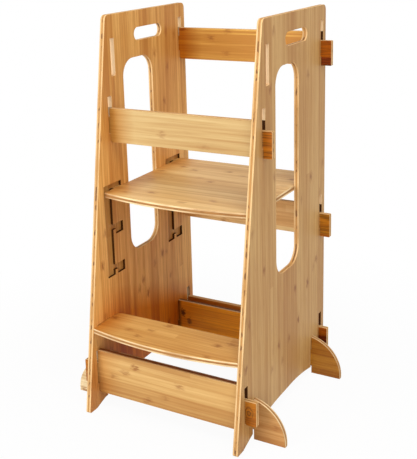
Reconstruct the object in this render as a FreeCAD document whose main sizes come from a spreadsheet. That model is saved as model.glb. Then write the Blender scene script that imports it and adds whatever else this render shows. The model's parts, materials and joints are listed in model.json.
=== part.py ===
import FreeCAD, Part
import math
import os
import types

import Sketcher

# A toddler's kitchen tower of slot-together bamboo boards, in millimetres.
# +X is the right of someone climbing in, +Y points to the worktop and +Z is up.
# The origin is on the floor, midway between the side panels and midway along their feet.

os.makedirs("parts", exist_ok=True)
doc = FreeCAD.newDocument("kitchen_tower")

# Driving sizes. Setbacks are measured inwards from the nearest upright edge of a side panel,
# and drops downwards from its top.
dimensions = {
    # side panels
    "board_thickness": 12.0,
    "inner_width": 368.0,
    "panel_height": 900.0,
    "panel_foot_depth": 487.0,
    "panel_top_depth": 343.5,
    "panel_top_round": 13.0,
    "panel_toe_round": 4.0,
    "arch_span": 430.0,
    "arch_flat": 60.0,
    "arch_rise": 32.0,
    # tall side opening and carrying handle
    "opening_width": 124.0,
    "opening_bottom": 327.5,
    "opening_drop": 107.0,
    "opening_setback": 159.5,
    "opening_round": 40.0,
    "handle_length": 120.0,
    "handle_height": 30.0,
    "handle_drop": 54.5,
    # hooked tenons: a tenon enters a slot, the board drops, its notch straddles the panel
    "slot_height": 84.0,
    "slot_play": 2.5,
    "hook_notch": 20.0,
    "hook_reach": 25.0,
    "short_hook_reach": 20.5,
    "side_gap": 0.4,
    "tip_round": 2.0,
    "heel_round": 6.0,
    "rail_height": 78.0,
    "rail_tenon": 58.0,
    # guard rail at the climbing side, with its second, higher pair of slots
    "guard_drop": 285.0,
    "guard_setback": 44.0,
    "guard_raise": 128.0,
    # rails at the worktop side
    "rear_setback": 17.0,
    "rear_top_drop": 138.5,
    "rear_middle_bottom": 343.0,
    "rear_low_bottom": 35.0,
    "rear_low_tenon_raise": 8.5,
    # kick board under the step
    "kick_bottom": 37.0,
    "kick_height": 106.0,
    "kick_tenon": 56.5,
    "kick_tenon_raise": 18.0,
    "kick_setback": 37.0,
    # stabilisers: boards with quarter-round feet, which the panels straddle from above
    "stabiliser_top": 122.0,
    "stabiliser_clear": 24.0,
    "stabiliser_lap": 64.0,
    "front_stabiliser_setback": 90.0,
    "rear_stabiliser_setback": 68.5,
    "foot_top": 96.0,
    "foot_reach": 74.5,
    "foot_centre_inset": 17.0,
    # routed tracks on the inner faces: a channel with a hook recess at each level
    "track_depth": 6.0,
    "track_setback": 384.8,
    "channel_span": 270.0,
    "track_bottom": 297.2,
    "channel_width": 29.0,
    "hump_width": 11.1,
    "recess_width": 28.4,
    "recess_drop": 12.0,
    "level_height": 98.0,
    "lift_play": 0.5,
    # standing platform
    "tab_play": 0.3,
    "platform_front": 2.0,
    "platform_bow": 20.0,
    "platform_rear": 4.0,
    "platform_round": 3.5,
    # fixed step
    "step_bottom": 189.0,
    "step_rear": 355.0,
    "step_bow": 20.0,
    "step_round": 20.0,
    "step_tongue_inset": 16.0,
    "step_groove_depth": 6.0,
}
levels = 3

# Smallest cut that counts as one, in cubic millimetres, and how nearly two lines must match.
smallest_cut = 1.0
matching_distance = 0.01
parallel_ratio = 0.999


class Size:
    # A number, to place the first sketch, with the formula that ties it to the sheet.
    def __init__(self, value, formula):
        self.value = float(value)
        self.formula = formula

    def __add__(self, other):
        other = as_size(other)
        return Size(self.value + other.value, f"({self.formula} + {other.formula})")

    def __sub__(self, other):
        other = as_size(other)
        return Size(self.value - other.value, f"({self.formula} - {other.formula})")

    def __mul__(self, other):
        other = as_size(other)
        return Size(self.value * other.value, f"({self.formula} * {other.formula})")

    def __truediv__(self, other):
        other = as_size(other)
        return Size(self.value / other.value, f"({self.formula} / {other.formula})")

    def __neg__(self):
        return Size(-self.value, f"(0 - {self.formula})")


def as_size(number):
    if isinstance(number, Size):
        return number
    return Size(number, f"({number})")


def fill_sheet():
    sheet = doc.addObject("Spreadsheet::Sheet", "sizes")
    cells = {}
    for row, (name, number) in enumerate(dimensions.items(), start=1):
        sheet.set(f"A{row}", name.replace("_", " "))
        sheet.set(f"B{row}", str(number))
        sheet.setAlias(f"B{row}", name)
        cells[name] = Size(number, f"sizes.{name}")
    doc.recompute()
    return types.SimpleNamespace(**cells)


s = fill_sheet()
zero = as_size(0)

# Places that several pieces share.
inner_face = s.inner_width / 2
outer_face = inner_face + s.board_thickness
shoulder = inner_face - s.side_gap
hook_face = outer_face + s.side_gap
rear_edge = s.panel_foot_depth / 2
front_toe = -rear_edge
front_slope = (s.panel_foot_depth - s.panel_top_depth) / s.panel_height


def front_edge(height):
    return front_toe + front_slope * height


def slot_bottom(board_bottom):
    return board_bottom + s.hook_notch


def leaning_rear_face(board_bottom, setback):
    # The rear face of a board whose slot keeps its setback from the sloping front edge.
    return front_edge(slot_bottom(board_bottom) + s.slot_height / 2) + setback


rear_rail_face = rear_edge - s.rear_setback
rear_top_bottom = s.panel_height - s.rear_top_drop
guard_bottom = s.panel_height - s.guard_drop
guard_face = leaning_rear_face(guard_bottom, s.guard_setback)
guard_upper_bottom = guard_bottom + s.guard_raise
guard_upper_face = leaning_rear_face(guard_upper_bottom, s.guard_setback)
kick_face = leaning_rear_face(s.kick_bottom, s.kick_setback)
front_stabiliser_face = front_toe + s.front_stabiliser_setback
rear_stabiliser_face = rear_edge - s.rear_stabiliser_setback

# Hooked boards: rear face, underside, height, the tenon's underside and height, and its reach.
hooked_boards = {
    "front_guard_rail": (guard_face, guard_bottom, s.rail_height,
                         zero, s.rail_tenon, s.short_hook_reach),
    "rear_top_rail": (rear_rail_face, rear_top_bottom, s.rail_height,
                      zero, s.rail_tenon, s.hook_reach),
    "rear_middle_rail": (rear_rail_face, s.rear_middle_bottom, s.rail_height,
                         zero, s.rail_tenon, s.hook_reach),
    "rear_bottom_rail": (rear_rail_face, s.rear_low_bottom, s.rail_height,
                         s.rear_low_tenon_raise, s.rail_tenon, s.short_hook_reach),
    "front_kick_board": (kick_face, s.kick_bottom, s.kick_height,
                         s.kick_tenon_raise, s.kick_tenon, s.hook_reach),
}

# Platform tracks: front of each channel, and the floor of each level's hook recess.
channels = [rear_edge - s.track_setback, rear_edge - s.track_setback + s.channel_span]
recess_start = s.channel_width + s.hump_width
recess_end = recess_start + s.recess_width
recess_floors = [s.track_bottom + s.level_height * level for level in range(levels)]
passage = s.board_thickness + s.lift_play
platform_floor = recess_floors[-1]

step_top = s.step_bottom + s.board_thickness
step_front_face = front_edge(step_top)
step_rear_face = rear_edge - s.step_rear
step_tongue = (step_front_face + s.step_tongue_inset,
               step_rear_face - s.step_round - s.step_tongue_inset)


class Arc:
    # A round stretch to the next corner, fixed by its radius or by one place of its centre.
    def __init__(self, radius=None, centre_u=None, centre_v=None, clockwise=False):
        self.radius = radius
        self.centre_u = centre_u
        self.centre_v = centre_v
        self.clockwise = clockwise

    def centre(self, start, end):
        du = end[0].value - start[0].value
        dv = end[1].value - start[1].value
        chord = math.hypot(du, dv)
        middle_u = (start[0].value + end[0].value) / 2
        middle_v = (start[1].value + end[1].value) / 2
        across_u = -dv / chord
        across_v = du / chord
        if self.radius is not None:
            reach = math.sqrt(max(self.radius.value ** 2 - chord ** 2 / 4, 0))
            reach = -reach if self.clockwise else reach
        elif self.centre_u is not None:
            reach = (self.centre_u.value - middle_u) / across_u
        else:
            reach = (self.centre_v.value - middle_v) / across_v
        return FreeCAD.Vector(middle_u + reach * across_u, middle_v + reach * across_v, 0)

    def geometry(self, start, end):
        centre = self.centre(start, end)
        first, last = (end, start) if self.clockwise else (start, end)
        angles = []
        for corner in (first, last):
            angles.append(math.atan2(corner[1].value - centre.y, corner[0].value - centre.x))
        if angles[1] <= angles[0]:
            angles[1] += 2 * math.pi
        radius = math.hypot(first[0].value - centre.x, first[1].value - centre.y)
        circle = Part.Circle(centre, FreeCAD.Vector(0, 0, 1), radius)
        return Part.ArcOfCircle(circle, angles[0], angles[1])


def bowed(half_width, bow):
    return Arc(radius=(half_width * half_width + bow * bow) / (bow * 2))


def draw_loop(sketch, corners):
    # A closed outline, walked counterclockwise, with every corner tied to the sheet.
    steps = []
    for index, corner in enumerate(corners):
        following = corners[(index + 1) % len(corners)]
        arc = corner[2] if len(corner) > 2 else None
        if arc is None:
            ends = [FreeCAD.Vector(c[0].value, c[1].value, 0) for c in (corner, following)]
            edge = sketch.addGeometry(Part.LineSegment(*ends), False)
        else:
            edge = sketch.addGeometry(arc.geometry(corner, following), False)
        start, end = (2, 1) if arc and arc.clockwise else (1, 2)
        steps.append((edge, start, end, arc, corner))
    rules = []
    formulas = []
    for index, (edge, start, end, arc, corner) in enumerate(steps):
        next_edge, next_start = steps[(index + 1) % len(steps)][:2]
        rules.append(Sketcher.Constraint("Coincident", edge, end, next_edge, next_start))
        formulas.append(None)
        for kind, place in (("DistanceX", corner[0]), ("DistanceY", corner[1])):
            rules.append(Sketcher.Constraint(kind, -1, 1, edge, start, place.value))
            formulas.append(place.formula)
        if arc is None:
            continue
        if arc.radius is not None:
            rules.append(Sketcher.Constraint("Radius", edge, arc.radius.value))
            formulas.append(arc.radius.formula)
        elif arc.centre_u is not None:
            rules.append(Sketcher.Constraint("DistanceX", -1, 1, edge, 3, arc.centre_u.value))
            formulas.append(arc.centre_u.formula)
        else:
            rules.append(Sketcher.Constraint("DistanceY", -1, 1, edge, 3, arc.centre_v.value))
            formulas.append(arc.centre_v.formula)
    numbers = sketch.addConstraint(rules)
    for number, formula in zip(numbers, formulas):
        if formula is not None:
            sketch.setExpression(f"Constraints[{number}]", formula)


def new_body(label, x=zero, y=zero, z=zero):
    body = doc.addObject("PartDesign::Body", label)
    body.Label = label
    body.Placement = FreeCAD.Placement(FreeCAD.Vector(x.value, y.value, z.value), FreeCAD.Rotation())
    for axis, place in (("x", x), ("y", y), ("z", z)):
        body.setExpression(f"Placement.Base.{axis}", place.formula)
    return body


def new_sketch(body, name, plane, loops):
    sketch = body.newObject("Sketcher::SketchObject", f"{body.Name}_{name}_sketch")
    origin_plane = [part for part in body.Origin.OriginFeatures if part.Role == plane][0]
    sketch.AttachmentSupport = [(origin_plane, "")]
    sketch.MapMode = "FlatFace"
    for loop in loops:
        draw_loop(sketch, loop)
    return sketch


def pad(body, name, plane, loops, length, backwards=False):
    sketch = new_sketch(body, name, plane, loops)
    feature = body.newObject("PartDesign::Pad", f"{body.Name}_{name}")
    feature.Profile = sketch
    feature.setExpression("Length", length.formula)
    feature.Reversed = backwards
    doc.recompute()
    return feature


def pocket(body, name, plane, loops, depth, backwards=False):
    before = body.Tip.Shape.Volume
    sketch = new_sketch(body, name, plane, loops)
    feature = body.newObject("PartDesign::Pocket", f"{body.Name}_{name}")
    feature.Profile = sketch
    feature.setExpression("Length", depth.formula)
    feature.Reversed = backwards
    doc.recompute()
    if feature.Shape.Volume > before - smallest_cut:
        raise RuntimeError(f"{feature.Name} cuts nothing")
    return feature


def round_edges(body, name, direction, places, radius):
    # Rounds the straight edges along one axis that pass through the given places.
    base = body.Tip
    names = []
    for number, edge in enumerate(base.Shape.Edges, start=1):
        along = edge.Vertexes[-1].Point - edge.Vertexes[0].Point
        if along.Length < matching_distance:
            continue
        if abs(along.normalize().dot(direction)) < parallel_ratio:
            continue
        for place in places:
            gap = edge.Vertexes[0].Point - place
            if (gap - direction * gap.dot(direction)).Length < matching_distance:
                names.append(f"Edge{number}")
                break
    if len(names) != len(places):
        raise RuntimeError(f"{body.Name} {name}: {len(names)} edges for {len(places)} corners")
    feature = body.newObject("PartDesign::Fillet", f"{body.Name}_{name}")
    feature.Base = (base, names)
    feature.setExpression("Radius", radius.formula)
    doc.recompute()
    return feature


def rectangle(left, low, right, high):
    return [(left, low), (right, low), (right, high), (left, high)]


def side_opening():
    # A tall oblong whose round corners leave a short flat at the head and at the foot.
    right = rear_edge - s.opening_setback
    left = right - s.opening_width
    low = s.opening_bottom
    high = s.panel_height - s.opening_drop
    right_bend = right - s.opening_round
    left_bend = left + s.opening_round
    low_bend = low + s.opening_round
    high_bend = high - s.opening_round
    return [
        (left_bend, low),
        (right_bend, low, Arc(centre_u=right_bend)),
        (right, low_bend),
        (right, high_bend, Arc(centre_v=high_bend)),
        (right_bend, high),
        (left_bend, high, Arc(centre_u=left_bend)),
        (left, high_bend),
        (left, low_bend, Arc(centre_v=low_bend)),
    ]


def handle_slot():
    middle = rear_edge - s.panel_top_depth / 2
    half = s.handle_height / 2
    left = middle - s.handle_length / 2 + half
    right = middle + s.handle_length / 2 - half
    low = s.panel_height - s.handle_drop - half
    high = low + s.handle_height
    return [(left, low), (right, low, Arc(centre_u=right)), (right, high), (left, high, Arc(centre_u=left))]


def board_slot(rear_face, board_bottom):
    low = slot_bottom(board_bottom)
    front = rear_face - s.board_thickness - s.slot_play
    return rectangle(front, low, rear_face, low + s.slot_height)


def stabiliser_slot(rear_face):
    front = rear_face - s.board_thickness - s.slot_play
    return rectangle(front, -s.board_thickness, rear_face, s.stabiliser_lap)


def track(channel):
    # One channel, with a passage over a hump into a hook recess at each level.
    channel_rear = channel + s.channel_width
    hump_rear = channel + recess_start
    recess_rear = channel + recess_end
    corners = [(channel, recess_floors[0]), (channel_rear, recess_floors[0])]
    for floor in recess_floors:
        sill = floor + s.recess_drop
        roof = sill + passage
        corners += [(channel_rear, sill), (hump_rear, sill), (hump_rear, floor),
                    (recess_rear, floor), (recess_rear, roof), (channel_rear, roof)]
    corners[-1] = (channel, corners[-1][1])
    return corners


def side_panel(label, hand):
    # Drawn on its inner face, with the board's thickness going outwards.
    leftwards = hand < 0
    body = new_body(label, x=-inner_face if leftwards else inner_face)
    top_front = rear_edge - s.panel_top_depth
    half_span = s.arch_span / 2
    half_flat = s.arch_flat / 2
    outline = [
        (front_toe, zero),
        (-half_span, zero, Arc(centre_u=-half_flat, clockwise=True)),
        (-half_flat, s.arch_rise),
        (half_flat, s.arch_rise, Arc(centre_u=half_flat, clockwise=True)),
        (half_span, zero),
        (rear_edge, zero),
        (rear_edge, s.panel_height),
        (top_front, s.panel_height),
    ]
    pad(body, "board", "YZ_Plane", [outline], s.board_thickness, backwards=leftwards)
    slots = [board_slot(face, bottom) for face, bottom, *rest in hooked_boards.values()]
    slots.append(board_slot(guard_upper_face, guard_upper_bottom))
    slots += [stabiliser_slot(front_stabiliser_face), stabiliser_slot(rear_stabiliser_face)]
    cuts = [side_opening(), handle_slot()] + slots
    pocket(body, "cuts", "YZ_Plane", cuts, s.board_thickness, backwards=not leftwards)
    tracks = [track(channel) for channel in channels]
    pocket(body, "tracks", "YZ_Plane", tracks, s.track_depth, backwards=not leftwards)
    groove = rectangle(step_tongue[0] - s.tab_play, s.step_bottom,
                       step_tongue[1] + s.tab_play, step_top + s.lift_play)
    pocket(body, "step_groove", "YZ_Plane", [groove], s.step_groove_depth, backwards=not leftwards)
    along = FreeCAD.Vector(1, 0, 0)
    top_corners = [FreeCAD.Vector(0, y.value, s.panel_height.value) for y in (top_front, rear_edge)]
    round_edges(body, "top_round", along, top_corners, s.panel_top_round)
    toes = [FreeCAD.Vector(0, y.value, 0) for y in (front_toe, rear_edge)]
    round_edges(body, "toe_round", along, toes, s.panel_toe_round)
    return body


def mirrored(right_side):
    # The left half of a symmetrical outline, walked on from the top of the right half.
    left_side = []
    arcs = [corner[2] if len(corner) > 2 else None for corner in right_side]
    for index in reversed(range(len(right_side))):
        place = (-right_side[index][0], right_side[index][1])
        arc = arcs[index - 1] if index > 0 else None
        if arc is not None:
            place += (Arc(centre_u=-arc.centre_u),)
        left_side.append(place)
    return left_side


def corner_lines(corners):
    return [FreeCAD.Vector(u.value, 0, v.value) for u, v in corners]


def both_sides(corners):
    return corners + [(-u, v) for u, v in corners]


def hooked_board(label, rear_face, bottom, height, tenon_raise, tenon_height, reach):
    body = new_body(label, y=rear_face, z=bottom)
    tenon_top = tenon_raise + tenon_height
    hook_tip = outer_face + reach
    right_side = [
        (shoulder, zero),
        (shoulder, s.hook_notch),
        (hook_face, s.hook_notch),
        (hook_face, tenon_raise),
        (hook_tip, tenon_raise),
        (hook_tip, tenon_top),
        (shoulder, tenon_top),
        (shoulder, height),
    ]
    pad(body, "board", "XZ_Plane", [right_side + mirrored(right_side)], s.board_thickness)
    along = FreeCAD.Vector(0, 1, 0)
    tips = both_sides([(hook_tip, tenon_raise), (hook_tip, tenon_top), (shoulder, height)])
    round_edges(body, "tip_round", along, corner_lines(tips), s.tip_round)
    heels = both_sides([(shoulder, zero)])
    round_edges(body, "heel_round", along, corner_lines(heels), s.heel_round)
    return body


def stabiliser(label, rear_face):
    body = new_body(label, y=rear_face)
    foot_tip = outer_face + s.foot_reach
    foot_arc = Arc(centre_u=outer_face - s.foot_centre_inset)
    right_side = [
        (hook_face, s.stabiliser_clear),
        (hook_face, zero),
        (foot_tip, zero, foot_arc),
        (hook_face, s.foot_top),
        (hook_face, s.stabiliser_lap),
        (shoulder, s.stabiliser_lap),
        (shoulder, s.stabiliser_top),
    ]
    pad(body, "board", "XZ_Plane", [right_side + mirrored(right_side)], s.board_thickness)
    along = FreeCAD.Vector(0, 1, 0)
    corners = both_sides([(shoulder, s.stabiliser_top)])
    round_edges(body, "tip_round", along, corner_lines(corners), s.tip_round)
    return body


def bowed_board(label, bottom, front, rear, bow, tongues, tongue_reach, corner_round):
    # A board with a bowed front edge and tongues or tabs that enter the panels' grooves.
    body = new_body(label, z=bottom)
    tongue_end = shoulder + tongue_reach
    right_side = [(shoulder, front)]
    for start, end in tongues:
        right_side += [(shoulder, start), (tongue_end, start), (tongue_end, end), (shoulder, end)]
    right_side.append((shoulder, rear))
    outline = right_side + mirrored(right_side)
    outline[-1] += (bowed(shoulder, bow),)
    pad(body, "board", "XY_Plane", [outline], s.board_thickness)
    along = FreeCAD.Vector(0, 0, 1)
    corners = [FreeCAD.Vector(u.value, rear.value, 0) for u in (shoulder, -shoulder)]
    round_edges(body, "rear_round", along, corners, corner_round)
    return body


def standing_platform(label):
    front = channels[0] + s.platform_front
    tabs = []
    for channel in channels:
        tabs.append((channel + recess_start + s.tab_play, channel + recess_end - s.tab_play))
    rear = channels[1] + recess_end + s.platform_rear
    tab_reach = s.track_depth
    return bowed_board(label, platform_floor, front, rear, s.platform_bow, tabs, tab_reach, s.platform_round)


def lower_step(label):
    return bowed_board(label, s.step_bottom, step_front_face, step_rear_face, s.step_bow,
                       [step_tongue], s.step_groove_depth, s.step_round)


pieces = [side_panel("side_panel_left", -1), side_panel("side_panel_right", 1)]
pieces.append(standing_platform("standing_platform"))
pieces.append(lower_step("lower_step"))
for label, measures in hooked_boards.items():
    pieces.append(hooked_board(label, *measures))
pieces.append(stabiliser("front_stabiliser", front_stabiliser_face))
pieces.append(stabiliser("rear_stabiliser", rear_stabiliser_face))

doc.recompute()
for thing in doc.Objects:
    if "Invalid" in thing.State or "Error" in thing.State:
        raise RuntimeError(f"{thing.Name} failed: {thing.State}")
for piece in pieces:
    shape = piece.Shape
    if shape.isNull() or not shape.isValid() or len(shape.Solids) != 1:
        raise RuntimeError(f"{piece.Label} has no sound solid")
for piece in pieces:
    piece.Shape.exportStep(f"parts/{piece.Label}.step")
    box = piece.Shape.BoundBox
    print(f"{piece.Label}: {box.XLength:.1f} x {box.YLength:.1f} x {box.ZLength:.1f} mm, "
          f"volume {piece.Shape.Volume / 1000:.0f} cm3, z {box.ZMin:.1f} to {box.ZMax:.1f}")
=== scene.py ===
import json
import math

import bmesh
import bpy
from mathutils import Matrix, Vector

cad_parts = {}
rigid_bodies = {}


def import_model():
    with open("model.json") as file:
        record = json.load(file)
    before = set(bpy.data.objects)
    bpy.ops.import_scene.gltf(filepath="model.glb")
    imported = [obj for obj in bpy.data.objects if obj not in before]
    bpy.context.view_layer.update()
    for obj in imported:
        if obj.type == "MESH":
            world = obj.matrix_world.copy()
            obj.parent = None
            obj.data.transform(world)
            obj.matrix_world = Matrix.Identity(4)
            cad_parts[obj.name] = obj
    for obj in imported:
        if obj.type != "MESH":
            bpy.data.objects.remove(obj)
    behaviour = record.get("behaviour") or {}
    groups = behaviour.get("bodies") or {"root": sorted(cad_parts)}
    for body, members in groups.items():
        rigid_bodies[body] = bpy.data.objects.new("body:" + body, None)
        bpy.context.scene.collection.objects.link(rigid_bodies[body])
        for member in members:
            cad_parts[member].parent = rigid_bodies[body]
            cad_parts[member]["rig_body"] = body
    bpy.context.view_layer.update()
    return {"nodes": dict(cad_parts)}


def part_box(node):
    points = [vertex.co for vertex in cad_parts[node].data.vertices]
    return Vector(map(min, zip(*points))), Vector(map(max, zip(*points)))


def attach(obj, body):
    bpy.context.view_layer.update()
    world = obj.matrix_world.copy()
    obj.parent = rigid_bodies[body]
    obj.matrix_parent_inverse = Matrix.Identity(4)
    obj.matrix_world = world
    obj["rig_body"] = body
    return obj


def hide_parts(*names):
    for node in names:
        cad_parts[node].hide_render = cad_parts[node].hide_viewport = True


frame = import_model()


# camera, at the photograph's angle

camera = {
    "azimuth": 30.297, "elevation": 14.550, "roll": -1.833,   # degrees
    "place": (0.92995, -1.66076, 1.06662),
    "focalLength": 67.750, "sensorWidth": 36,   # millimetres, along the picture's longer side
    "shift": (0.0423, -0.1558),   # the picture lies a little right of and below the optical axis
    "farthest": 50,
}


def makeCamera(look):
    turn = math.radians(look["azimuth"])
    rise = math.radians(look["elevation"])
    roll = math.radians(look["roll"])
    back = Vector((math.sin(turn) * math.cos(rise), -math.cos(turn) * math.cos(rise), math.sin(rise)))
    right = Vector((math.cos(turn), math.sin(turn), 0))
    up = back.cross(right)
    rolledRight = right * math.cos(roll) + up * math.sin(roll)
    rolledUp = up * math.cos(roll) - right * math.sin(roll)
    lens = bpy.data.cameras.new("towerCamera")
    lens.lens = look["focalLength"]
    lens.sensor_width = look["sensorWidth"]
    lens.shift_x, lens.shift_y = look["shift"]
    lens.clip_end = look["farthest"]
    holder = bpy.data.objects.new("towerCamera", lens)
    bpy.context.scene.collection.objects.link(holder)
    axes = Matrix((rolledRight, rolledUp, back)).transposed()
    holder.matrix_world = Matrix.Translation(Vector(look["place"])) @ axes.to_4x4()
    bpy.context.scene.camera = holder


makeCamera(camera)
print("camera placed")


# small helpers for node trees

def newMaterial(name):
    material = bpy.data.materials.new(name)
    material.use_nodes = True
    tree = material.node_tree
    clearNodes(tree)
    return material, tree


def clearNodes(tree):
    for node in list(tree.nodes):
        tree.nodes.remove(node)


def addNode(tree, kind, inputs=None, **settings):
    node = tree.nodes.new(kind)
    for key, value in settings.items():
        setattr(node, key, value)
    for key, value in (inputs or {}).items():
        if isinstance(value, bpy.types.NodeSocket):
            tree.links.new(value, node.inputs[key])
        else:
            node.inputs[key].default_value = value
    return node


def calc(tree, operation, first, second=0.0):
    return addNode(tree, "ShaderNodeMath", {0: first, 1: second}, operation=operation).outputs[0]


def mixColour(tree, share, first, second, blend="MIX"):
    # sockets 6 and 7 are the two colours of a node that mixes colours
    inputs = {0: share, 6: first, 7: second}
    return addNode(tree, "ShaderNodeMix", inputs, data_type="RGBA", blend_type=blend).outputs[2]


def tinted(tree, share, colour, tint):
    # the colour multiplied by a tint, as far as the share says
    if not isinstance(tint, bpy.types.NodeSocket):
        tint = (*tint, 1)
    return mixColour(tree, share, colour, mixColour(tree, 1.0, colour, tint, "MULTIPLY"))


def ramp(tree, value, stops):
    node = addNode(tree, "ShaderNodeValToRGB", {0: value})
    elements = node.color_ramp.elements
    while len(elements) < len(stops):
        elements.new(0.5)
    for element, (place, tone) in zip(elements, stops):
        element.position = place
        element.color = tone
    return node.outputs[0]


def spread(tree, value, fromLow, fromHigh, toLow, toHigh):
    inputs = {0: value, 1: fromLow, 2: fromHigh, 3: toLow, 4: toHigh}
    return addNode(tree, "ShaderNodeMapRange", inputs).outputs[0]


def distance(tree, first, second):
    squares = calc(tree, "ADD", calc(tree, "MULTIPLY", first, first), calc(tree, "MULTIPLY", second, second))
    return calc(tree, "SQRT", squares)


def vector(tree, first, second, third):
    return addNode(tree, "ShaderNodeCombineXYZ", {0: first, 1: second, 2: third}).outputs[0]


def noise(tree, place, scale, detail):
    inputs = {"Vector": place, "Scale": scale, "Detail": detail}
    return addNode(tree, "ShaderNodeTexNoise", inputs).outputs[0]


def luck(tree, first, second, third):
    # the same random share for every point with these three numbers
    return addNode(tree, "ShaderNodeTexWhiteNoise", {"Vector": vector(tree, first, second, third)}).outputs[0]


def streaks(tree, along, across, third, pattern):
    length, width, detail = patternSize[pattern]
    place = vector(tree, calc(tree, "DIVIDE", along, length), calc(tree, "DIVIDE", across, width), third)
    return noise(tree, place, 1.0, detail)


def grey(level):
    return (level, level, level, 1)


# bamboo ply

bamboo = {
    "stripWidth": 0.0185,              # laminated cane strips across the face
    "stripLength": 4.0,
    "glueLine": (0.478, 0.5),          # the edge of a strip, as a share of its width
    "glueShare": 0.22,
    "roughness": 0.39,
    "fibreRoughness": 0.18,
    "rimRoughness": 0.2,
    "specular": 0.22,                  # oiled wood, hardly any sheen at a low angle
    "bumpStrength": 0.4,
    "bumpDepth": 0.0002,
    "relief": {"knuckle": 0.5, "fibre": 0.8, "glue": 0.9},
}

# each pattern: its length along the grain and its width, in metres, and its detail
patternSize = {
    "sway": (0.35, 0.12, 1.0),         # lets the grain wander a little
    "cloud": (0.50, 0.12, 2.0),
    "vein": (0.33, 0.0100, 2.0),
    "band": (0.26, 0.0046, 2.0),       # soft darker bands
    "fibre": (0.085, 0.0011, 3.0),
    "hair": (0.03, 0.0004, 1.0),
    "dash": (0.046, 0.0021, 3.0),      # short brown fibre bundles
    "ragged": (0.013, 0.0032, 3.0),    # the outline of a knuckle
    "tipLines": (0.06, 0.0026, 2.0),   # lines on the tenons
    "wobble": (0.010, 0.010, 1.0),     # bends the rings of a knot
    "spot": (0.005, 0.005, 2.0),       # the outline of a dark knot
}

# what is added to a board's seed for each pattern, so that the patterns differ
seedShift = {"cane": 0.7, "ragged": 1.0, "chance": 2.5, "tipLines": 3.0, "band": 4.0, "wobble": 5.0,
             "place": 6.5, "spot": 7.0, "vein": 8.0, "dash": 11.0}
cloudSeed = 3.1                        # the clouds have this times the board's seed
wholeStrip = 0.5                       # stands for a whole strip, because its canes have whole numbers
swayReach = 0.006
depthTurn = {"fibre": 700.0, "hair": 900.0}     # how fast these change through a board's thickness

# how much each soft pattern weighs in a point's tone
toneWeight = {"cane": 0.26, "cloud": 0.26, "vein": 0.26, "band": 0.22}
toneReach = 0.25                       # from the middle tone to the pale and the dark one
noiseSpan = (0.30, 0.70)               # the part of a noise's range that is used

# fine patterns that darken the face: noise from, noise to, share
darkPattern = {"fibre": (0.50, 0.78, 0.36), "hair": (0.55, 0.85, 0.26), "dash": (0.57, 0.75, 0.45)}

# where a cane had a joint: a ragged brown smudge, darkest in its middle
knuckle = {
    "spacing": 0.16, "length": 0.012, "chance": 0.36,
    "rowShift": 17.0,                  # sets the joints of neighbouring strips apart
    "place": (0.25, 0.75),             # where in its cell the joint may lie
    "slimness": 2.2, "raggedness": 0.65, "weakest": 0.35,
    "core": (0.0, 0.70, 0.55), "halo": (0.25, 1.3, 0.85),     # away from, away to, share
}

# linear colours of the face, before each board's own tone
honey = {"pale": (0.70, 0.43, 0.170), "middle": (0.575, 0.315, 0.105), "dark": (0.450, 0.205, 0.056),
         "fibre": (0.33, 0.125, 0.028), "amber": (0.36, 0.140, 0.036), "knuckle": (0.22, 0.075, 0.018)}


def toned(tone, colour):
    return tuple(min(part * share, 1.0) for part, share in zip(colour, tone)) + (1,)


def ownStreaks(tree, look, along, across, pattern):
    # streaks that lie differently on each board
    return streaks(tree, along, across, look["seed"] + seedShift[pattern], pattern)


def knuckleMarks(tree, look, along, across, stripNumber, inStrip, stripLuck):
    # how strongly the middle and the rim of a knuckle show at each point
    seed = look["seed"]
    cell = calc(tree, "ADD", calc(tree, "DIVIDE", along, knuckle["spacing"]),
                calc(tree, "MULTIPLY", stripLuck, knuckle["rowShift"]))
    cellNumber = calc(tree, "FLOOR", cell)
    cellLuck = luck(tree, stripNumber, cellNumber, seed + seedShift["chance"])
    placeLuck = luck(tree, stripNumber, cellNumber, seed + seedShift["place"])
    ragged = ownStreaks(tree, look, along, across, "ragged")
    offset = calc(tree, "SUBTRACT", calc(tree, "FRACT", cell),
                  spread(tree, placeLuck, 0.0, 1.0, *knuckle["place"]))
    offset = calc(tree, "DIVIDE", calc(tree, "MULTIPLY", offset, knuckle["spacing"]), knuckle["length"])
    away = distance(tree, offset, calc(tree, "MULTIPLY", inStrip, knuckle["slimness"]))
    away = calc(tree, "ADD", away,
                spread(tree, ragged, *noiseSpan, knuckle["raggedness"], -knuckle["raggedness"]))
    rare = 1.0 - knuckle["chance"]
    strength = spread(tree, cellLuck, rare, 1.0, knuckle["weakest"], 1.0)
    strength = calc(tree, "MULTIPLY", strength, look.get("knuckles", 1.0))
    strength = calc(tree, "MULTIPLY", strength, calc(tree, "GREATER_THAN", cellLuck, rare))
    core, halo = (calc(tree, "MULTIPLY", spread(tree, away, *knuckle[part], 0.0), strength)
                  for part in ("core", "halo"))
    return core, halo


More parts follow.
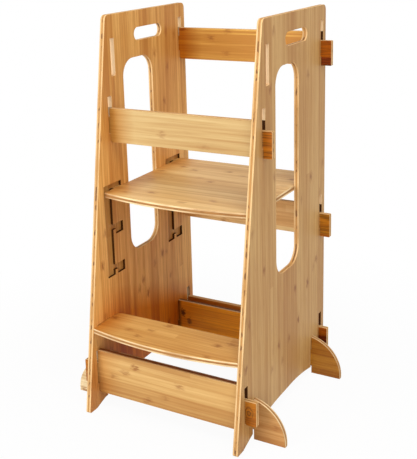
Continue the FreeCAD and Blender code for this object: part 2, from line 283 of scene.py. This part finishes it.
def bambooFace(tree, look, along, across, thick):
    # colour, relief and shine of a board's broad face
    seed = look["seed"]
    tone = look["tone"]
    sway = streaks(tree, along, across, seed, "sway")
    across = calc(tree, "ADD", across, calc(tree, "MULTIPLY", calc(tree, "SUBTRACT", sway, 0.5), swayReach))

    # each strip has its own tone, and clouds, veins and bands run along the grain over it
    strip = calc(tree, "ADD", calc(tree, "DIVIDE", across, bamboo["stripWidth"]), seed)
    stripNumber = calc(tree, "FLOOR", strip)
    inStrip = calc(tree, "SUBTRACT", calc(tree, "FRACT", strip), 0.5)
    stripLuck = luck(tree, stripNumber, wholeStrip, seed)
    cane = calc(tree, "FLOOR", calc(tree, "ADD", calc(tree, "DIVIDE", along, bamboo["stripLength"]), stripLuck))
    caneLuck = luck(tree, stripNumber, cane, seed + seedShift["cane"])
    cloud = streaks(tree, along, across, seed * cloudSeed, "cloud")
    vein = ownStreaks(tree, look, along, across, "vein")
    band = ownStreaks(tree, look, along, across, "band")
    mixed = calc(tree, "MULTIPLY", caneLuck, toneWeight["cane"])
    for pattern, part in ((cloud, "cloud"), (vein, "vein"), (band, "band")):
        mixed = calc(tree, "ADD", mixed, spread(tree, pattern, *noiseSpan, 0.0, toneWeight[part]))
    half = toneReach / look["contrast"]
    colour = ramp(tree, mixed, [(0.5 - half, toned(tone, honey["dark"])), (0.5, toned(tone, honey["middle"])),
                                (0.5 + half, toned(tone, honey["pale"]))])

    fibre, hair = (streaks(tree, along, across, calc(tree, "MULTIPLY", thick, depthTurn[part]), part)
                   for part in ("fibre", "hair"))
    dash = ownStreaks(tree, look, along, across, "dash")
    for pattern, part in ((fibre, "fibre"), (hair, "hair"), (dash, "dash")):
        low, high, share = darkPattern[part]
        marks = spread(tree, pattern, low, high, 0.0, share * look["streaks"])
        colour = mixColour(tree, marks, colour, toned(tone, honey["fibre"]))
    glue = spread(tree, calc(tree, "ABSOLUTE", inStrip), *bamboo["glueLine"], 0.0, 1.0)
    colour = mixColour(tree, calc(tree, "MULTIPLY", glue, bamboo["glueShare"]), colour,
                       toned(tone, honey["fibre"]))

    core, halo = knuckleMarks(tree, look, along, across, stripNumber, inStrip, stripLuck)
    colour = mixColour(tree, halo, colour, toned(tone, honey["amber"]))
    colour = mixColour(tree, core, colour, toned(tone, honey["knuckle"]))

    relief = calc(tree, "SUBTRACT", calc(tree, "MULTIPLY", halo, bamboo["relief"]["knuckle"]),
                  calc(tree, "MULTIPLY", fibre, bamboo["relief"]["fibre"]))
    relief = calc(tree, "SUBTRACT", relief, calc(tree, "MULTIPLY", glue, bamboo["relief"]["glue"]))
    shine = calc(tree, "ADD", calc(tree, "MULTIPLY", fibre, bamboo["fibreRoughness"]), bamboo["roughness"])
    return colour, relief, shine


# cut edges: outer plies, glue line, core ply and its dark end-grain dashes

goldRim = {"outer": (0.80, 0.54, 0.26), "core": (0.50, 0.25, 0.075), "glue": (0.28, 0.12, 0.035),
           "dash": (0.115, 0.045, 0.018), "dashShare": 0.75}
creamRim = {"outer": (0.90, 0.67, 0.37), "core": (0.40, 0.18, 0.05), "glue": (0.20, 0.08, 0.02),
            "dash": (0.12, 0.045, 0.015), "dashShare": 0.30}
plies = {
    "core": (0.32, 0.38),              # where the core ends, as a share of half the thickness
    "glue": 0.37, "glueWidth": (0.02, 0.07), "glueShare": 0.7,
    "dashScale": 58.0, "dashDepthScale": 150.0, "dashDetail": 1.5, "dash": (0.56, 0.62),
    "poreScale": 1300.0, "poreDetail": 2.0, "pore": (0.5, 0.8), "poreShare": 0.35,
    "patchScale": 16.0, "patchDetail": 1.0, "patch": (0.35, 0.7), "patchShare": 0.65,
}


def bambooRim(tree, look, along, across, thick, low, high):
    # colour of a cut edge: two pale plies, dark glue lines and a brown core with end-grain dashes
    rim = {part: (*look["rim"][part], 1) for part in ("outer", "core", "glue", "dash")}
    half = (high - low) / 2
    fromMiddle = calc(tree, "SUBTRACT", thick, low + half)
    depth = calc(tree, "DIVIDE", calc(tree, "ABSOLUTE", fromMiddle), half)
    dashPlace = vector(tree, calc(tree, "MULTIPLY", along, plies["dashScale"]),
                       calc(tree, "MULTIPLY", across, plies["dashScale"]),
                       calc(tree, "ADD", calc(tree, "MULTIPLY", thick, plies["dashDepthScale"]), look["seed"]))
    dashes = noise(tree, dashPlace, 1.0, plies["dashDetail"])
    pores = noise(tree, vector(tree, along, across, thick), plies["poreScale"], plies["poreDetail"])
    patches = noise(tree, vector(tree, along, across, look["seed"]), plies["patchScale"], plies["patchDetail"])
    outer = mixColour(tree, spread(tree, patches, *plies["patch"], 0.0, plies["patchShare"]),
                      rim["outer"], rim["core"])
    core = mixColour(tree, spread(tree, dashes, *plies["dash"], 0.0, look["rim"]["dashShare"]),
                     rim["core"], rim["dash"])
    colour = mixColour(tree, spread(tree, depth, *plies["core"], 1.0, 0.0), outer, core)
    fromGlue = calc(tree, "ABSOLUTE", calc(tree, "SUBTRACT", depth, plies["glue"]))
    glue = spread(tree, fromGlue, *plies["glueWidth"], plies["glueShare"], 0.0)
    colour = mixColour(tree, glue, colour, rim["glue"])
    return mixColour(tree, spread(tree, pores, *plies["pore"], 0.0, plies["poreShare"]), colour, rim["glue"])


# the tenons' faces: lines along the grain, a darker lower part of painted shade, and on one board the rings of a
# knot

tipLines = {"from": (0.190, 0.192), "noise": (0.40, 0.58), "pale": 1.24}
knotRings = {"spacing": 0.0055, "reach": (0.008, 0.013), "stretch": 1.35, "wobble": 0.006,
             "wave": (0.0, 0.9), "depth": 0.80, "tone": (0.10, 0.030, 0.004)}


def fromPoint(tree, along, across, place, stretch):
    # how far each point is from a place on the face, with heights squeezed by the stretch
    upward = calc(tree, "DIVIDE", calc(tree, "SUBTRACT", across, place[1]), stretch)
    return distance(tree, calc(tree, "SUBTRACT", along, place[0]), upward)


def tenonTip(tree, look, along, across, face):
    tip = look["tip"]
    beyond = calc(tree, "ABSOLUTE", along)
    outside = spread(tree, beyond, *tipLines["from"], 0.0, 1.0)
    lines = ownStreaks(tree, look, along, across, "tipLines")
    shade = spread(tree, lines, *tipLines["noise"], tip["lines"], tipLines["pale"])
    face = tinted(tree, outside, face, shade)
    # painted shade: the lower part of a tenon, which lies in shadow, is darker
    if "foot" in tip:
        foot = calc(tree, "MULTIPLY", outside, spread(tree, across, *tip["foot"], 0.0, 1.0))
        face = tinted(tree, foot, face, tip["tint"])
    if "knot" in tip:
        away = fromPoint(tree, beyond, across, tip["knot"], knotRings["stretch"])
        wobble = ownStreaks(tree, look, along, across, "wobble")
        turned = calc(tree, "ADD", away, calc(tree, "MULTIPLY", wobble, knotRings["wobble"]))
        wave = calc(tree, "SINE", calc(tree, "MULTIPLY", turned, math.tau / knotRings["spacing"]))
        ring = calc(tree, "MULTIPLY", spread(tree, wave, *knotRings["wave"], 0.0, knotRings["depth"]),
                    spread(tree, away, *knotRings["reach"], 1.0, 0.0))
        face = mixColour(tree, calc(tree, "MULTIPLY", ring, outside), face, (*knotRings["tone"], 1))
    return face


# the rear stabiliser's dark knots, and painted shadow that darkens its left end from the panel outwards

knotAndContactShadow = {"tone": (0.055, 0.012, 0.001), "share": 0.75}
spotShape = {"stretch": 1.5, "raggedness": 0.45, "edge": (0.55, 1.15), "depth": 0.9}


def knotSpot(tree, look, spot, along, across, face):
    # one dark knot: its place along the board and up, its radius and its strength
    *place, radius, strength = spot
    away = fromPoint(tree, along, across, place, spotShape["stretch"])
    ragged = ownStreaks(tree, look, along, across, "spot")
    away = calc(tree, "ADD", calc(tree, "DIVIDE", away, radius),
                spread(tree, ragged, *noiseSpan, -spotShape["raggedness"], spotShape["raggedness"]))
    share = spread(tree, away, *spotShape["edge"], spotShape["depth"] * strength, 0.0)
    return mixColour(tree, share, face, (*knotAndContactShadow["tone"], 1))


# painted shade: the cross boards' left ends are deeper in colour between the panels, where the left panel shades
# them
innerEnd = {"tint": (0.72, 0.42, 0.08), "reach": (0.118, 0.172), "until": (0.186, 0.188)}

# painted light and shade on the left panel: paler lower down, a deeper orange inside near the floor where it
# lies in shade, and a browner front leg in painted shade
paintedPanelShading = {
    "lightByHeight": (0.20, 0.85, 1.14, 0.93),          # from one height to another, from one share to another
    "tint": (0.80, 0.45, 0.07), "height": (0.235, 0.165), "lean": 0.3,
    "behind": (-0.20, -0.11),                   # only behind the kick board
    "leg": (0.17, 0.08), "legShade": (0.66, 0.52, 0.42),
}


def paintPanelShading(tree, foot, along, across, thick, middle, face):
    # painted light and shade: paler lower down, deeper orange low inside, a browner front leg
    lightByHeight = spread(tree, along, *foot["lightByHeight"])
    face = mixColour(tree, 1.0, face, lightByHeight, "MULTIPLY")
    height = calc(tree, "ADD", along, calc(tree, "MULTIPLY", across, foot["lean"]))
    inside = calc(tree, "MULTIPLY", spread(tree, height, *foot["height"], 0.0, 1.0),
                  calc(tree, "GREATER_THAN", thick, middle))
    inside = calc(tree, "MULTIPLY", inside, spread(tree, across, *foot["behind"], 0.0, 1.0))
    face = tinted(tree, inside, face, foot["tint"])
    leg = calc(tree, "MULTIPLY", spread(tree, along, *foot["leg"], 0.0, 1.0),
               spread(tree, across, *foot["behind"], 1.0, 0.0))
    return tinted(tree, leg, face, foot["legShade"])


# where the painted light and shade change along a cross board, as distances from its middle
tenonPaint = (0.186, 0.198)
topPaint = {"until": (0.184, 0.186), "share": 0.92, "edge": 0.001}

paintedSlotLight = {"tone": (0.86, 0.62, 0.36), "share": 0.85}    # slot walls: the milled ply made paler than the face, as painted light that falls through the slots
endGrainAndShadeTone = (0.060, 0.022, 0.008)    # dark end grain of the rails inside the slots, darkened further as painted deep shade, and painted shade on slot walls that no light reaches
routedGrainAndShadeTone = (0.060, 0.020, 0.004)      # the routed tracks are darker: partly the cutter's burn on the cut walls, partly painted shade down in the grooves
faceMarks = ("cutEdge", "slotWall", "endGrainAndShade", "routed")      # attributes of the boards' faces
axisNumber = {"x": 0, "y": 1, "z": 2}


def paintedFace(tree, look, along, across, thick, middle, face):
    # what each board's own look adds to its plain face
    leftward = calc(tree, "MULTIPLY", along, -1.0)
    # painted shade on a cross board's left end, where the left panel shades it
    if "inner" in look:
        inner = calc(tree, "MULTIPLY", spread(tree, leftward, *innerEnd["reach"], 0.0, look["inner"]),
                     spread(tree, leftward, *innerEnd["until"], 1.0, 0.0))
        face = tinted(tree, inner, face, innerEnd["tint"])
    # painted light and shade on the boards' ends outside the panels
    for sign, tint in zip((-1, 1), look.get("ends", ())):
        outside = spread(tree, calc(tree, "MULTIPLY", along, sign), *tenonPaint, 0.0, 1.0)
        face = tinted(tree, outside, face, tint)
    if "tip" in look:
        face = tenonTip(tree, look, along, across, face)
    # painted shadow where the board meets the left panel, darkening its left end
    if "contact" in look:
        contactShadowShare = spread(tree, leftward, *look["contact"], 0.0, knotAndContactShadow["share"])
        face = mixColour(tree, contactShadowShare, face, (*knotAndContactShadow["tone"], 1))
    for spot in look.get("spots", ()):
        face = knotSpot(tree, look, spot, along, across, face)
    if "foot" in look:
        face = paintPanelShading(tree, look["foot"], along, across, thick, middle, face)
    return face


def bambooMaterial(name, look, low, high):
    material, tree = newMaterial(name)
    output = addNode(tree, "ShaderNodeOutputMaterial")
    shader = addNode(tree, "ShaderNodeBsdfPrincipled")
    tree.links.new(shader.outputs[0], output.inputs[0])
    place = addNode(tree, "ShaderNodeTexCoord").outputs["Object"]
    split = addNode(tree, "ShaderNodeSeparateXYZ", {0: place}).outputs
    acrossName = [axis for axis in "xyz" if axis not in (look["thick"], look["grain"])][0]
    thick, along, across = (split[axisNumber[axis]] for axis in (look["thick"], look["grain"], acrossName))
    rimMark, litSlotMark, endAndShadeMark, routedMark = (
        addNode(tree, "ShaderNodeAttribute", attribute_name=mark).outputs["Fac"] for mark in faceMarks)
    face, relief, shine = bambooFace(tree, look, along, across, thick)
    face = paintedFace(tree, look, along, across, thick, (low + high) / 2, face)
    rim = bambooRim(tree, look, along, across, thick, low, high)
    if "top" in look:
        # the long edges between the panels, from a share of the thickness backwards, take their painted light
        # and shade
        between = spread(tree, calc(tree, "ABSOLUTE", along), *topPaint["until"], topPaint["share"], 0.0)
        start = low + (high - low) * look.get("topFrom", -1.0)
        rear = spread(tree, thick, start, start + topPaint["edge"], 0.0, 1.0)
        rim = mixColour(tree, calc(tree, "MULTIPLY", between, rear), rim, (*look["top"], 1))
    colour = mixColour(tree, rimMark, face, rim)
    colour = mixColour(tree, calc(tree, "MULTIPLY", litSlotMark, paintedSlotLight["share"]), colour,
                       (*paintedSlotLight["tone"], 1))
    colour = mixColour(tree, endAndShadeMark, colour, (*endGrainAndShadeTone, 1))
    colour = mixColour(tree, routedMark, colour, (*routedGrainAndShadeTone, 1))
    tree.links.new(colour, shader.inputs["Base Color"])
    roughness = calc(tree, "ADD", shine, calc(tree, "MULTIPLY", rimMark, bamboo["rimRoughness"]))
    tree.links.new(roughness, shader.inputs["Roughness"])
    dull = calc(tree, "MAXIMUM", endAndShadeMark, routedMark)
    tree.links.new(spread(tree, dull, 0.0, 1.0, bamboo["specular"], 0.0), shader.inputs["Specular IOR Level"])
    bump = addNode(tree, "ShaderNodeBump", {"Strength": bamboo["bumpStrength"],
                                            "Distance": bamboo["bumpDepth"], "Height": relief})
    tree.links.new(bump.outputs[0], shader.inputs["Normal"])
    return material


# the boards: each one a copy of its node, with its sharp cut edges eased

# painted shade on the tenons: a deeper colour outside the panels, where the panels keep the light off them
guardTint = (0.68, 0.305, 0.026)
topTint = (0.66, 0.36, 0.015)
middleTint = (0.49, 0.28, 0.035)
lowTint = (0.86, 0.62, 0.075)
kickTint = (0.65, 0.365, 0.046)
heelTint = (0.50, 0.54, 1.50)           # the rear stabiliser's two ends, its feet in painted shade

# the long edges of three boards differ from their other cut edges: painted shade on the kick board's and the
# rear stabiliser's, painted light on the rear bottom rail's
paintedShadeTop = (0.17, 0.035, 0.004)
paintedDeepShadeTop = (0.10, 0.030, 0.004)
paintedLightTop = (0.75, 0.44, 0.17)

# each board's left-end share says how much deeper its left end is painted between the panels, as painted shade,
# and "topFrom" is the share of the thickness behind which the long edges have the colour of "top"
boardLooks = {
    "side_panel_left": {
        "thick": "x", "grain": "z", "seed": 1.3, "contrast": 1.25, "streaks": 1.3,
        "tone": (1.22, 1.11, 0.84), "rim": goldRim, "foot": paintedPanelShading, "slotShade": 0.6,
    },
    "side_panel_right": {
        "thick": "x", "grain": "z", "seed": 5.1, "contrast": 0.85, "streaks": 1.1,
        "tone": (0.88, 0.89, 0.88), "rim": goldRim,
    },
    "standing_platform": {
        "thick": "z", "grain": "x", "seed": 9.6, "contrast": 0.9, "streaks": 0.45, "knuckles": 0.75,
        "tone": (1.13, 1.27, 1.42), "rim": creamRim, "inner": 0.7,
    },
    "lower_step": {
        "thick": "z", "grain": "x", "seed": 14.2, "contrast": 0.9, "streaks": 0.6,
        "tone": (1.13, 1.11, 0.93), "rim": creamRim, "inner": 0.75,
    },
    "front_guard_rail": {
        "thick": "y", "grain": "x", "seed": 20.7, "contrast": 0.85, "streaks": 0.45, "knuckles": 0.7,
        "tone": (0.97, 1.16, 1.38), "rim": goldRim, "inner": 0.85, "hooked": True,
        "ends": (guardTint, guardTint), "tip": {"lines": 0.62},
    },
    "rear_top_rail": {
        "thick": "y", "grain": "x", "seed": 27.4, "contrast": 1.7, "streaks": 0.8,
        "tone": (1.14, 1.08, 0.60), "rim": goldRim, "inner": 1.0, "hooked": True,
        "ends": (topTint, topTint),
        "tip": {"lines": 0.62, "foot": (0.7825, 0.7805), "tint": (0.55, 0.34, 0.80)},
    },
    # its raised tone is painted light on a face that stands under the platform
    "rear_middle_rail": {
        "thick": "y", "grain": "x", "seed": 33.8, "contrast": 0.8, "streaks": 0.6,
        "tone": (1.52, 1.74, 2.10), "rim": goldRim, "inner": 0.5, "hooked": True,
        "ends": (middleTint, middleTint),
        "tip": {"lines": 0.58, "foot": (0.354, 0.350), "tint": (0.78, 0.55, 0.50)},
    },
    # its dark tone is painted deep shade on the rail behind the step, and its pale top is painted light
    "rear_bottom_rail": {
        "thick": "y", "grain": "x", "seed": 41.5, "contrast": 1.4, "streaks": 1.0,
        "tone": (0.80, 0.48, 0.12), "rim": goldRim, "inner": 0.5, "hooked": True,
        "ends": (lowTint, lowTint), "top": paintedLightTop,
        "tip": {"lines": 0.64, "foot": (0.082, 0.079), "tint": (0.45, 0.30, 0.50)},
    },
    "front_kick_board": {
        "thick": "y", "grain": "x", "seed": 47.9, "contrast": 0.85, "streaks": 0.45,
        "tone": (0.97, 0.98, 0.91), "rim": goldRim, "inner": 0.45, "hooked": True,
        "ends": (kickTint, kickTint), "top": paintedShadeTop, "topFrom": 0.4,
        "tip": {"lines": 0.86, "knot": (0.2040, 0.0855)},
    },
    "front_stabiliser": {
        "thick": "y", "grain": "x", "seed": 55.2, "contrast": 1.0, "streaks": 0.7,
        "tone": (1.03, 1.08, 1.15), "rim": creamRim,
        # painted light on the left foot, which the lamp reaches, and painted shade on the right foot in the
        # right panel's shadow
        "ends": ((1.12, 1.40, 2.00), (0.82, 0.69, 0.58)),
    },
    # its deep orange tone is painted shade behind the step
    "rear_stabiliser": {
        "thick": "y", "grain": "x", "seed": 61.1, "contrast": 1.3, "streaks": 0.9,
        "tone": (1.35, 0.88, 0.09), "rim": creamRim, "inner": 0.4,
        "ends": (heelTint, heelTint), "top": paintedDeepShadeTop, "topFrom": 0.5,
        "contact": (0.172, 0.180),
        "spots": ((-0.1692, 0.0885, 0.0078, 1.0), (-0.1507, 0.0670, 0.0070, 0.75)),
    },
}

weldDistance = 1e-5
flatAngle = math.radians(1)
ease = {"width": 0.0008, "segments": 2, "profile": 0.5, "angle": math.radians(60)}
squareOn = 0.9            # a face looks along an axis when more of its normal than this points there
rimTilt = 0.4             # and it is a cut edge when less than this points along the thickness
throughShare = 0.9        # a face as wide as this share of the thickness goes right through
routed = {"wallShare": 0.97, "floorShare": 0.22, "depthShare": 0.7, "skin": 0.001}
slotWall = {"height": (0.080, 0.088), "cutDistance": 1e-6, "sameWall": 0.0005}
# painted shade: slot walls behind a hooked board lie in the dark, and so do all parts of them near the floor
slotDark = {"besideBoard": 0.004, "boardHeight": 0.090, "below": 0.3}
boardEndReach = 0.1845    # rail ends nearer the middle than this stand inside the panels


def span(face, axis):
    places = [vert.co[axis] for vert in face.verts]
    return min(places), max(places)


def routedShare(face, thick, low, high):
    # faces below a board's surface and inside its thickness belong to a routed track
    if abs(face.normal[thick]) > squareOn:
        sunk = low + routed["skin"] < face.calc_center_median()[thick] < high - routed["skin"]
        return routed["floorShare"] if sunk else 0.0
    near, far = span(face, thick)
    return routed["wallShare"] if far - near < (high - low) * routed["depthShare"] else 0.0


def goesThrough(face, low, high):
    # a face that looks forward and goes right through the panel
    left, right = span(face, 0)
    return face.normal[1] < -squareOn and right - left > (high - low) * throughShare


def isSlotWall(face, low, high):
    # the rear wall of a board slot
    bottom, top = span(face, 2)
    return goesThrough(face, low, high) and slotWall["height"][0] < top - bottom < slotWall["height"][1]


def wallPlaces(mesh, low, high):
    # where the slots' rear walls are: how far back, and from which height to which
    return [(face.calc_center_median()[1], *span(face, 2)) for face in mesh.faces if isSlotWall(face, low, high)]


def onSlotWall(face, places):
    centre = face.calc_center_median()
    return face.normal[1] < -squareOn and any(
        abs(centre[1] - back) < slotWall["sameWall"] and bottom < centre[2] < top
        for back, bottom, top in places)


def hookedBoards():
    # rear face and top of each board that hangs in the slots
    corners = [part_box(node)[1] for node, look in boardLooks.items() if look.get("hooked")]
    return [(corner[1], corner[2]) for corner in corners]


def shadedSlotParts(mesh, low, high):
    # below a board's top no light reaches the slot's rear wall: that part is split off and returned, to be
    # painted as shade
    def isBeside(face, rearFace):
        return abs(face.calc_center_median()[1] - rearFace) < slotDark["besideBoard"]

    for rearFace, boardTop in hookedBoards():
        for face in [face for face in mesh.faces if isSlotWall(face, low, high)]:
            bottom, top = span(face, 2)
            if isBeside(face, rearFace) and bottom < boardTop < top:
                bmesh.ops.bisect_plane(mesh, geom=[face, *face.edges, *face.verts],
                                       dist=slotWall["cutDistance"], plane_co=(0, 0, boardTop),
                                       plane_no=(0, 0, 1))
    shaded = set()
    for rearFace, boardTop in hookedBoards():
        lowest, highest = boardTop - slotDark["boardHeight"], max(boardTop, slotDark["below"])
        for face in mesh.faces:
            dark = lowest < face.calc_center_median()[2] < highest
            if dark and goesThrough(face, low, high) and isBeside(face, rearFace):
                shaded.add(face)
    return shaded


def isBoardEnd(face, thick):
    # the end of a rail between its tenon and its top, which stands inside the panels
    left, right = span(face, 0)
    return thick == 1 and abs(face.normal[0]) > squareOn and max(-left, right) < boardEndReach


def markFaces(mesh, look, thick, low, high):
    # the face attributes that the material reads; all are made before any face is remembered
    layers = [mesh.faces.layers.float.new(name) for name in faceMarks]
    walls, shaded = [], set()
    if look["thick"] == "x":
        walls = wallPlaces(mesh, low, high)
        shaded = shadedSlotParts(mesh, low, high)
    for face in mesh.faces:
        slotShade = look.get("slotShade", 1.0) if face in shaded else 0.0
        marks = (abs(face.normal[thick]) < rimTilt, onSlotWall(face, walls),
                 1.0 if isBoardEnd(face, thick) else slotShade, routedShare(face, thick, low, high))
        for layer, mark in zip(layers, marks):
            face[layer] = float(mark)


def isSharpRim(edge, thick):
    # an outward edge between a board's broad face and a cut edge
    if len(edge.link_faces) != 2 or not edge.is_convex:
        return False
    first, second = (abs(face.normal[thick]) > squareOn for face in edge.link_faces)
    return first != second and edge.calc_face_angle(0) > ease["angle"]


def meshObject(mesh, name):
    data = bpy.data.meshes.new(name)
    mesh.to_mesh(data)
    mesh.free()
    thing = bpy.data.objects.new(name, data)
    bpy.context.scene.collection.objects.link(thing)
    return thing


def easedBoard(node, look):
    thick = axisNumber[look["thick"]]
    low, high = (corner[thick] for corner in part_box(node))
    mesh = bmesh.new()
    mesh.from_mesh(frame["nodes"][node].data)
    bmesh.ops.remove_doubles(mesh, verts=mesh.verts, dist=weldDistance)
    bmesh.ops.dissolve_limit(mesh, angle_limit=flatAngle, verts=mesh.verts, edges=mesh.edges)
    mesh.normal_update()
    markFaces(mesh, look, thick, low, high)
    rims = [edge for edge in mesh.edges if isSharpRim(edge, thick)]
    bmesh.ops.bevel(mesh, geom=rims, offset=ease["width"], offset_type="OFFSET", affect="EDGES",
                    segments=ease["segments"], profile=ease["profile"], material=-1, clamp_overlap=True)
    bmesh.ops.triangulate(mesh, faces=[face for face in mesh.faces if len(face.verts) > 4])
    board = meshObject(mesh, node + "Board")
    board.data.materials.append(bambooMaterial(node + "Bamboo", look, low, high))
    return board


for node, look in boardLooks.items():
    board = easedBoard(node, look)
    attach(board, frame["nodes"][node]["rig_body"])
    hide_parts(node)
print("boards made")


# floor, studio light and white surround

studio = {
    "floorSize": 8.0,
    "floorTone": 0.72,
    "floorRoughness": 0.9,
    "floorShadow": 0.055,       # how much of the real floor the camera sees beside the plain white
    "shadowReach": (0.45, 1.0),  # metres from the tower over which that fades out
    "surround": 0.45,
    "lamps": (
        # name, place, aim, size, watts
        ("keyLamp", (-1.5, -3.3, 1.3), (0, 0, 0.45), 2.2, 75),
        ("fillLamp", (2.2, -3.2, 1.1), (0, 0, 0.4), 2.4, 24),
        ("highLamp", (0.9, -1.0, 3.2), (0, 0, 0.4), 2.2, 58),
        ("rightLamp", (3.2, 0.7, 1.4), (0, 0, 0.45), 2.6, 17),
    ),
}


def seenDirectly(tree):
    # the camera, mirror-like bounces and anything looked through see the plain white surround
    path = addNode(tree, "ShaderNodeLightPath").outputs
    seen = calc(tree, "MAXIMUM", path["Is Camera Ray"], path["Is Glossy Ray"])
    return calc(tree, "MAXIMUM", seen, path["Is Transmission Ray"])


def makeFloor():
    mesh = bmesh.new()
    bmesh.ops.create_grid(mesh, x_segments=1, y_segments=1, size=studio["floorSize"])
    floor = meshObject(mesh, "studioFloor")
    material, tree = newMaterial("paleFloor")
    output = addNode(tree, "ShaderNodeOutputMaterial")
    surface = addNode(tree, "ShaderNodeBsdfPrincipled", {"Base Color": grey(studio["floorTone"]),
                                                         "Roughness": studio["floorRoughness"]})
    white = addNode(tree, "ShaderNodeEmission", {"Color": grey(1.0), "Strength": 1.0})
    place = addNode(tree, "ShaderNodeTexCoord").outputs["Object"]
    away = addNode(tree, "ShaderNodeVectorMath", {0: place}, operation="LENGTH").outputs["Value"]
    plain = spread(tree, away, *studio["shadowReach"], 1.0 - studio["floorShadow"], 1.0)
    share = calc(tree, "MULTIPLY", seenDirectly(tree), plain)
    blend = addNode(tree, "ShaderNodeMixShader", {0: share, 1: surface.outputs[0], 2: white.outputs[0]})
    tree.links.new(blend.outputs[0], output.inputs[0])
    floor.data.materials.append(material)


def makeWorld():
    world = bpy.data.worlds.new("studioWorld")
    bpy.context.scene.world = world
    world.use_nodes = True
    tree = world.node_tree
    clearNodes(tree)
    output = addNode(tree, "ShaderNodeOutputWorld")
    soft = addNode(tree, "ShaderNodeBackground", {"Color": grey(1.0), "Strength": studio["surround"]})
    white = addNode(tree, "ShaderNodeBackground", {"Color": grey(1.0), "Strength": 1.0})
    sources = {0: seenDirectly(tree), 1: soft.outputs[0], 2: white.outputs[0]}
    blend = addNode(tree, "ShaderNodeMixShader", sources)
    tree.links.new(blend.outputs[0], output.inputs[0])


def makeLamps():
    for name, place, aim, size, power in studio["lamps"]:
        light = bpy.data.lights.new(name, "AREA")
        light.shape = "DISK"
        light.size = size
        light.energy = power
        lamp = bpy.data.objects.new(name, light)
        bpy.context.scene.collection.objects.link(lamp)
        lamp.location = place
        direction = Vector(aim) - Vector(place)
        lamp.rotation_euler = direction.to_track_quat("-Z", "Y").to_euler()


makeFloor()
makeWorld()
makeLamps()
bpy.context.scene.view_settings.view_transform = "Standard"
print("studio ready")
